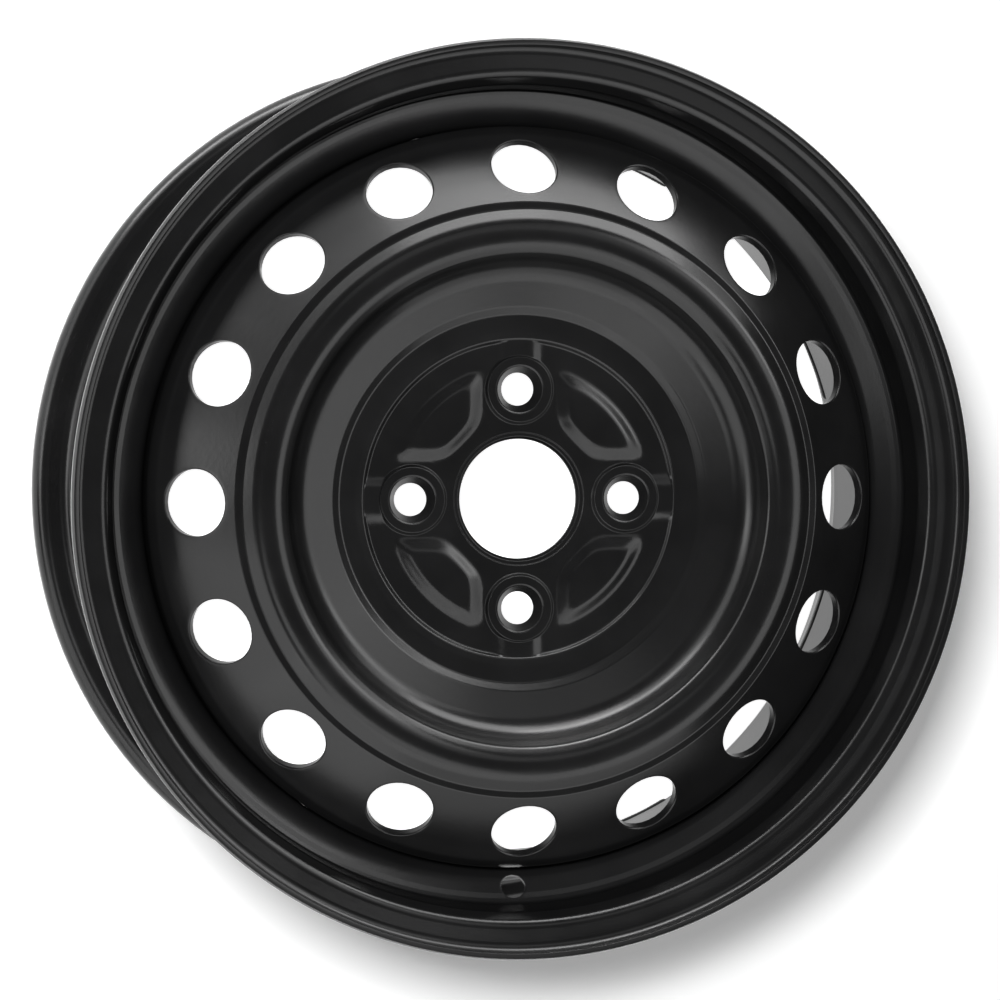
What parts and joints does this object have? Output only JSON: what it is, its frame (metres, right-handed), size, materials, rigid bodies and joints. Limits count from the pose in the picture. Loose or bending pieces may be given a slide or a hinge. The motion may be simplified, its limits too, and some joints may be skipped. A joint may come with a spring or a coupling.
{
  "type": "steel wheel rim",
  "caption": "Pressed steel road wheel: a drop-centre rim with J flanges round a deep dished disc with a hub pad, bolt holes and a ring of round vents.",
  "frame": {"origin": "the wheel's centre: on its axis, half way between the two flanges", "axes": "+Z along the wheel's axis, out of its outboard face; the bolt holes lie on X and Y and the valve hole at -Y"},
  "size_m": [0.4152, 0.4152, 0.165],
  "materials": {
    "rim_paint": "satin black paint on rolled steel sheet",
    "disc_paint": "satin black paint on pressed steel sheet",
    "weld_paint": "satin black paint over a rippled steel weld"
  },
  "bodies": {
    "root": {"rim": "rim_paint", "wheel_disc": "disc_paint", "weld_bead_1": "weld_paint", "weld_bead_2": "weld_paint", "weld_bead_3": "weld_paint", "weld_bead_4": "weld_paint", "weld_bead_5": "weld_paint", "weld_bead_6": "weld_paint", "weld_bead_7": "weld_paint", "weld_bead_8": "weld_paint"}
  },
  "joints": []
}
